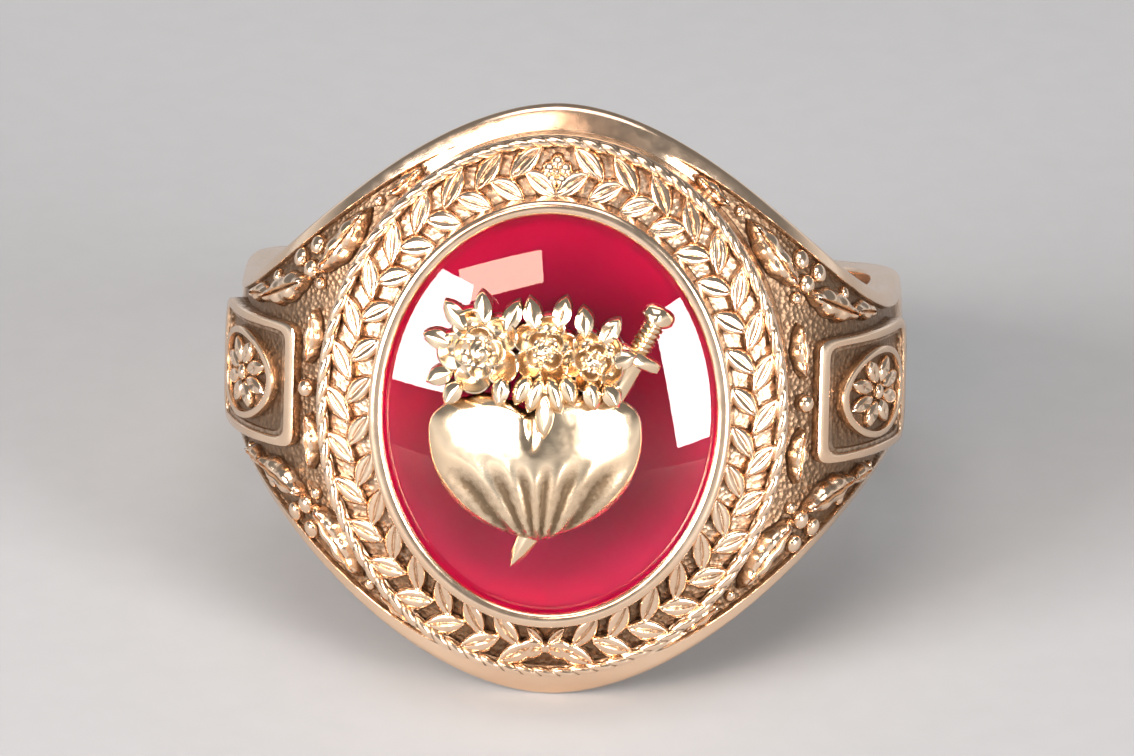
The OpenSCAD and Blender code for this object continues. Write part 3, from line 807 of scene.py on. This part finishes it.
def sword():
    """The sword behind the heart: pommel, ribbed grip, guard and ridged blade."""
    way = np.array([math.sin(math.radians(SWORD_LEAN)), math.cos(math.radians(SWORD_LEAN))])
    side = np.array([way[1], -way[0]])
    hilt = SWORD_AT + way * SWORD_LEN / 2
    section = np.array([[-1, 0], [1, 0], [1, 0.3], [0.86, 0.5], [0.45, 0.8], [0.12, 1], [-0.12, 1],
                        [-0.45, 0.8], [-0.86, 0.5], [-1, 0.3]])
    # Share of the length, half width as a share of the blade's, height as a share of the sword's
    stations = [(0, 0.5, 0.7), (0.006, 1, 0.9), (0.02, 1.25, 1), (0.042, 1.25, 1), (0.055, 1, 0.9),
                (0.06, 0.75, 0.7)]
    grip_ribs, grip_from, rib_pitch = 5, 0.065, 0.018
    for k in range(grip_ribs):
        start = grip_from + rib_pitch * k
        stations += [(start, 0.72, 0.7), (start + 0.005, 0.88, 0.95), (start + 0.012, 0.88, 0.95),
                     (start + 0.016, 0.72, 0.7)]
    stations += [(0.158, 0.8, 0.8), (0.162, 1.9, 0.85), (0.17, 2.1, 1), (0.195, 2.1, 1), (0.203, 1.9, 0.85),
                 (0.208, 1, 0.8), (0.3, 1, 0.8), (0.5, 0.95, 0.8), (0.75, 0.95, 0.8), (0.88, 0.86, 0.8),
                 (0.94, 0.7, 0.75), (0.98, 0.36, 0.6), (1, 0.06, 0.4)]
    rings, recess = [], []
    for share, half, height in stations:
        p = hilt - way * share * SWORD_LEN + side * section[:, :1] * half * SWORD_W / 2
        rings.append(on_stone(p, section[:, 1] * height * SWORD_H))
        recess.append(np.clip(1 - section[:, 1] * 2, 0, 1))
    return ringed(rings, recess)


def small_leaf(centre, lean, length, width, height):
    """A leaf of the emblem with a low ridge along its middle."""
    outline = leaf_outline(32, 1.7)
    rings, recess = [], []
    levels = ((1, 0, 1), (1, 0.82, 0.4), (0.94, 0.88, 0), (0.5, 0.95, 0), (0.12, 1, 0), (0.03, 1, 0))
    for share, h, hollow in levels:
        p = outline * np.array([length / 2, width / 2]) * np.array([mix(0.7, 1, share), share])
        rings.append(on_stone(turned(p, lean) + np.array(centre), h * height + 0 * p[:, 0]))
        recess.append(hollow)
    return ringed(rings, recess)


def emblem():
    """The heart with the sword behind it, three roses above it and their leaves."""
    # Place as shares of the heart's width and length from its middle, size, turn
    flowers = ((-0.263, 0.57, 1, 12), (0.044, 0.6, 0.8, 50), (0.27, 0.53, 0.74, 85))
    parts = [heart(), sword()]
    for x, y, size, turn in flowers:
        parts.append(rose(HEART_AT + np.array([x * HEART_W, y * HEART_LEN]), size * FLOWER_R, turn, 1.0))
    # The leaves round the flowers: place on the stone, lean, length
    leaves = (((-2.75, 2.95), 130, 1.05), ((-1.95, 3.2), 96, 1.0), ((-1.1, 3.0), 66, 1.05),
              ((-0.5, 3.1), 104, 1.0), ((0.35, 3.15), 76, 1.0), ((1.0, 2.9), 98, 0.95),
              ((1.75, 2.65), 55, 0.9), ((-3.25, 2.25), 165, 0.9), ((-3.15, 1.2), 205, 0.9),
              ((2.15, 1.85), 20, 0.8))
    # Those that hang from the flowers over the heart
    hanging = (((-1.35, 0.92), 262, 0.95), ((-0.72, 0.98), 246, 1.0), ((-0.35, 0.85), 250, 1.15),
               ((0.22, 0.87), 290, 1.15), ((0.62, 1.0), 292, 1.0), ((1.3, 0.86), 284, 0.9),
               ((-2.75, 0.78), 235, 0.85), ((1.85, 0.85), 305, 0.8), ((-0.06, 0.3), 269, 1.5))
    for group, width, height in ((leaves, 0.56, 0.75), (hanging, 0.54, 1.14)):
        for centre, lean, length in group:
            parts.append(small_leaf(centre, lean, length, width, height))
    return joined(parts)


# Materials. Scales are in waves or cells in a metre.
SPECKLE_SCALE = 5200.0
CLOUD_SCALE = 420.0
WEAR_SCALE = 2600.0
SCRATCH_SCALE = 1500.0
STIPPLE_SCALE = 6500.0
SCRATCH_DEPTH = 0.02
STIPPLE_DEPTH = 0.05
HOLLOW_ROUGHNESS = 0.3
# The recess where the patina and the painted shade it carries start, and where they are full
PATINA_FROM = 0.18
PATINA_TO = 0.85


def new_material(name):
    """A material with its nodes, its links, its shader and the object's own coordinates."""
    material = bpy.data.materials.new(name)
    material.use_nodes = True
    nodes = material.node_tree.nodes
    place = nodes.new("ShaderNodeTexCoord").outputs["Object"]
    return material, nodes, material.node_tree.links, nodes["Principled BSDF"], place


def noise(nodes, links, place, scale, detail=3.0, roughness=0.5):
    """Noise from 0 to 1, mostly between 0.3 and 0.7."""
    n = nodes.new("ShaderNodeTexNoise")
    n.inputs["Scale"].default_value = scale
    n.inputs["Detail"].default_value = detail
    n.inputs["Roughness"].default_value = roughness
    links.new(place, n.inputs["Vector"])
    return n.outputs["Fac"]


def remap(nodes, links, value, low, high, to_low, to_high):
    """A value from one range in another, held at its ends."""
    m = nodes.new("ShaderNodeMapRange")
    for key, number in (("From Min", low), ("From Max", high), ("To Min", to_low), ("To Max", to_high)):
        m.inputs[key].default_value = number
    links.new(value, m.inputs["Value"])
    return m.outputs["Result"]


def calculate(nodes, links, operation, first, second):
    """A sum or product of two values, each a number or a socket."""
    m = nodes.new("ShaderNodeMath")
    m.operation = operation
    for socket, value in zip(m.inputs, (first, second)):
        if isinstance(value, (int, float)):
            socket.default_value = value
        else:
            links.new(value, socket)
    return m.outputs[0]


def blend(nodes, links, factor, first, second):
    """A colour between two others, each a tuple or a socket."""
    m = nodes.new("ShaderNodeMix")
    m.data_type = "RGBA"
    links.new(factor, m.inputs["Factor"])
    for key, colour in (("A", first), ("B", second)):
        socket = [s for s in m.inputs if s.name == key and s.type == "RGBA"][0]
        if isinstance(colour, tuple):
            socket.default_value = colour
        else:
            links.new(colour, socket)
    return [s for s in m.outputs if s.type == "RGBA"][0]


def gold(name, bright, warm, patina, patina_share, rough_low, rough_high, stippled):
    """Cast gold: polished heights, dark patina and a stippled ground in its recesses, faint scratches."""
    material, nodes, links, shader, place = new_material(name)
    recess = nodes.new("ShaderNodeAttribute")
    recess.attribute_name = "recess"
    speckle = remap(nodes, links, noise(nodes, links, place, SPECKLE_SCALE), 0.3, 0.7, -0.16, 0.16)
    depth = calculate(nodes, links, "ADD", recess.outputs["Fac"], speckle)
    hollow = remap(nodes, links, depth, PATINA_FROM, PATINA_TO, 0.0, patina_share)
    cloud = noise(nodes, links, place, CLOUD_SCALE, 2.0)
    metal = blend(nodes, links, remap(nodes, links, cloud, 0.35, 0.65, 0.0, 1.0), bright, warm)
    # Patina colour where the recess is high; the same colour paints the shade held in the recess of the
    # border's bottom and the heart's lower half
    links.new(blend(nodes, links, hollow, metal, patina), shader.inputs["Base Color"])
    shader.inputs["Metallic"].default_value = 1.0
    wear = noise(nodes, links, place, WEAR_SCALE, 4.0, 0.6)
    worn = remap(nodes, links, wear, 0.3, 0.7, rough_low, rough_high)
    dull = calculate(nodes, links, "MULTIPLY", hollow, HOLLOW_ROUGHNESS)
    rough = calculate(nodes, links, "ADD", worn, dull)
    links.new(rough, shader.inputs["Roughness"])
    stretch = nodes.new("ShaderNodeMapping")
    stretch.inputs["Scale"].default_value = (1.0, 8.0, 3.0)
    stretch.inputs["Rotation"].default_value = (0.3, 0.5, 0.7)
    links.new(place, stretch.inputs["Vector"])
    scratches = nodes.new("ShaderNodeBump")
    scratches.inputs["Strength"].default_value = 0.1
    scratches.inputs["Distance"].default_value = SCRATCH_DEPTH * MM
    scratch = noise(nodes, links, stretch.outputs["Vector"], SCRATCH_SCALE, 5.0, 0.7)
    links.new(scratch, scratches.inputs["Height"])
    stipple = nodes.new("ShaderNodeTexVoronoi")
    stipple.inputs["Scale"].default_value = STIPPLE_SCALE
    links.new(place, stipple.inputs["Vector"])
    grain = nodes.new("ShaderNodeBump")
    grain.inputs["Distance"].default_value = STIPPLE_DEPTH * MM
    links.new(calculate(nodes, links, "MULTIPLY", hollow, stippled), grain.inputs["Strength"])
    links.new(stipple.outputs["Distance"], grain.inputs["Height"])
    links.new(scratches.outputs["Normal"], grain.inputs["Normal"])
    links.new(grain.outputs["Normal"], shader.inputs["Normal"])
    return material


def clear_stone():
    """Clear crimson stone with a polished top and faint clouding."""
    material, nodes, links, shader, place = new_material("red_stone")
    cloud = noise(nodes, links, place, 260.0, 2.0)
    crimson = blend(nodes, links, cloud, (0.98, 0.12, 0.36, 1), (0.94, 0.1, 0.32, 1))
    links.new(crimson, shader.inputs["Base Color"])
    shader.inputs["Roughness"].default_value = 0.015
    shader.inputs["IOR"].default_value = 1.5
    shader.inputs["Transmission Weight"].default_value = 1.0
    shader.inputs["Specular IOR Level"].default_value = 0.25
    return material


def foiled_underside():
    """The cut underside, foiled so that it throws the light back through the stone."""
    material, nodes, links, shader, place = new_material("stone_foil")
    cloud = noise(nodes, links, place, 700.0, 3.0)
    foil = blend(nodes, links, cloud, (1.0, 0.2, 0.46, 1), (0.92, 0.14, 0.38, 1))
    links.new(foil, shader.inputs["Base Color"])
    shader.inputs["Metallic"].default_value = 1.0
    shader.inputs["Roughness"].default_value = 0.42
    return material


def pale_floor():
    """A pale matt floor with the faintest grain."""
    material, nodes, links, shader, place = new_material("pale_floor")
    grain = noise(nodes, links, place, 900.0, 2.0)
    pale = blend(nodes, links, grain, (0.36, 0.36, 0.365, 1), (0.385, 0.385, 0.39, 1))
    links.new(pale, shader.inputs["Base Color"])
    shader.inputs["Roughness"].default_value = 0.8
    return material


# The camera, at the photograph's angle to the face
CAMERA_ABOVE_FACE = 8.5
CAMERA_RIGHT = 2.8
CAMERA_ROLL = 0.5
CAMERA_DISTANCE = 420.0
FRAME_HEIGHT = 22.5
CAMERA_AIM_DROP = 2.7
CLIP_START = 0.01
SENSOR_W = 36.0
SENSOR_H = SENSOR_W * 756 / 1134


def add_camera():
    """The camera, turned to the right of the face and above it, with the ring in the photograph's place."""
    low, high = (np.array(v) for v in cad_box)
    elevation, azimuth = math.radians(TILT + CAMERA_ABOVE_FACE), math.radians(CAMERA_RIGHT)
    target = Vector((low + high) / 2)
    target.z -= CAMERA_AIM_DROP * MM / math.cos(elevation)
    toward = Vector((math.cos(elevation) * math.sin(azimuth), -math.cos(elevation) * math.cos(azimuth),
                     math.sin(elevation)))
    data = bpy.data.cameras.new("camera")
    data.sensor_width = SENSOR_W
    data.sensor_fit = "HORIZONTAL"
    data.lens = SENSOR_H * CAMERA_DISTANCE / FRAME_HEIGHT
    data.clip_start = CLIP_START
    camera = bpy.data.objects.new("camera", data)
    bpy.context.scene.collection.objects.link(camera)
    camera.location = target + toward * CAMERA_DISTANCE * MM
    camera.rotation_euler = (target - camera.location).to_track_quat("-Z", "Y").to_euler()
    camera.rotation_euler.rotate_axis("Z", math.radians(CAMERA_ROLL))
    bpy.context.scene.camera = camera


# The lights and the floor
LIGHT_AIM_H = 8
FLOOR_R = 165
# The room's glow at its horizon and overhead, which starts at this height of the direction
HORIZON_GLOW = 1.0
OVERHEAD_GLOW = 0.22
OVERHEAD_FROM = 0.3
# A name, the azimuth, elevation and distance, the width, height and power in W, the roll, the colour
LIGHTS = (("left_softbox", -46, 21.5, 320, 150, 134, 1.65, 8, (1, 1, 1)),
          ("right_softbox", 43, 15.5, 320, 95, 165, 1.35, 4, (1, 1, 1)),
          ("top_softbox", 0, 80, 340, 260, 180, 0.5, 0, (1, 1, 1)),
          ("warm_reflector", -23, 38.5, 340, 150, 40, 0.36, 24, (1.0, 0.72, 0.55)))


def soft_light(name, azimuth, elevation, distance, width, height, power, roll, colour):
    """A soft box that faces the ring, from its azimuth to the right of the front and its elevation."""
    a, e = math.radians(azimuth), math.radians(elevation)
    aim = Vector((0, 0, LIGHT_AIM_H * MM))
    data = bpy.data.lights.new(name, "AREA")
    data.shape = "RECTANGLE"
    data.size = width * MM
    data.size_y = height * MM
    data.energy = power
    data.color = colour
    light = bpy.data.objects.new(name, data)
    away = Vector((math.cos(e) * math.sin(a), -math.cos(e) * math.cos(a), math.sin(e)))
    light.location = aim + away * distance * MM
    light.rotation_euler = (aim - light.location).to_track_quat("-Z", "Y").to_euler()
    light.rotation_euler.rotate_axis("Z", math.radians(roll))
    bpy.context.scene.collection.objects.link(light)


def add_stage():
    """A plain pale round floor under plain soft light."""
    edge = FLOOR_R * MM * round_outline(96)
    data = bpy.data.meshes.new("floor")
    data.from_pydata([(x, y, 0) for x, y in edge], [], [tuple(range(len(edge)))])
    data.materials.append(pale_floor())
    floor = bpy.data.objects.new("floor", data)
    bpy.context.scene.collection.objects.link(floor)
    for light in LIGHTS:
        soft_light(*light)
    # The room is brighter near its horizon than overhead
    sky = bpy.data.worlds.new("sky")
    sky.use_nodes = True
    nodes, links = sky.node_tree.nodes, sky.node_tree.links
    direction = nodes.new("ShaderNodeSeparateXYZ")
    links.new(nodes.new("ShaderNodeTexCoord").outputs["Generated"], direction.inputs["Vector"])
    glow = remap(nodes, links, direction.outputs["Z"], 0.0, OVERHEAD_FROM, HORIZON_GLOW, OVERHEAD_GLOW)
    links.new(glow, nodes["Background"].inputs["Strength"])
    nodes["Background"].inputs["Color"].default_value = (0.92, 0.96, 1.0, 1)
    bpy.context.scene.world = sky


add_camera()
add_stage()
bpy.context.scene.view_settings.view_transform = "Standard"

# The patina colours also paint the shade held in the recess of the border's bottom and the heart's lower half
body_gold = gold("body_gold", bright=(0.92, 0.68, 0.49, 1), warm=(0.87, 0.61, 0.42, 1),
                 patina=(0.15, 0.085, 0.046, 1), patina_share=0.92, rough_low=0.13, rough_high=0.24,
                 stippled=0.8)
emblem_gold = gold("emblem_gold", bright=(0.93, 0.73, 0.52, 1), warm=(0.89, 0.66, 0.44, 1),
                   patina=(0.13, 0.075, 0.035, 1), patina_share=0.88, rough_low=0.1, rough_high=0.2,
                   stippled=0.15)

body_parts = {"band": band(), "head": head(), "rope_ridge": rope(), "border_wreath": border_wreath(),
              "right_shoulder": shoulder(1), "left_shoulder": shoulder(-1)}
for name, part in body_parts.items():
    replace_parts(add_mesh(name, part, [body_gold]), "ring_body")
stone_part, underside_faces = stone()
stone_finishes = [clear_stone(), foiled_underside()]
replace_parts(add_mesh("red_stone", stone_part, stone_finishes, groove=0,
                     flat_faces=underside_faces), "stone")
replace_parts(add_mesh("heart_emblem", emblem(), [emblem_gold]), "emblem")
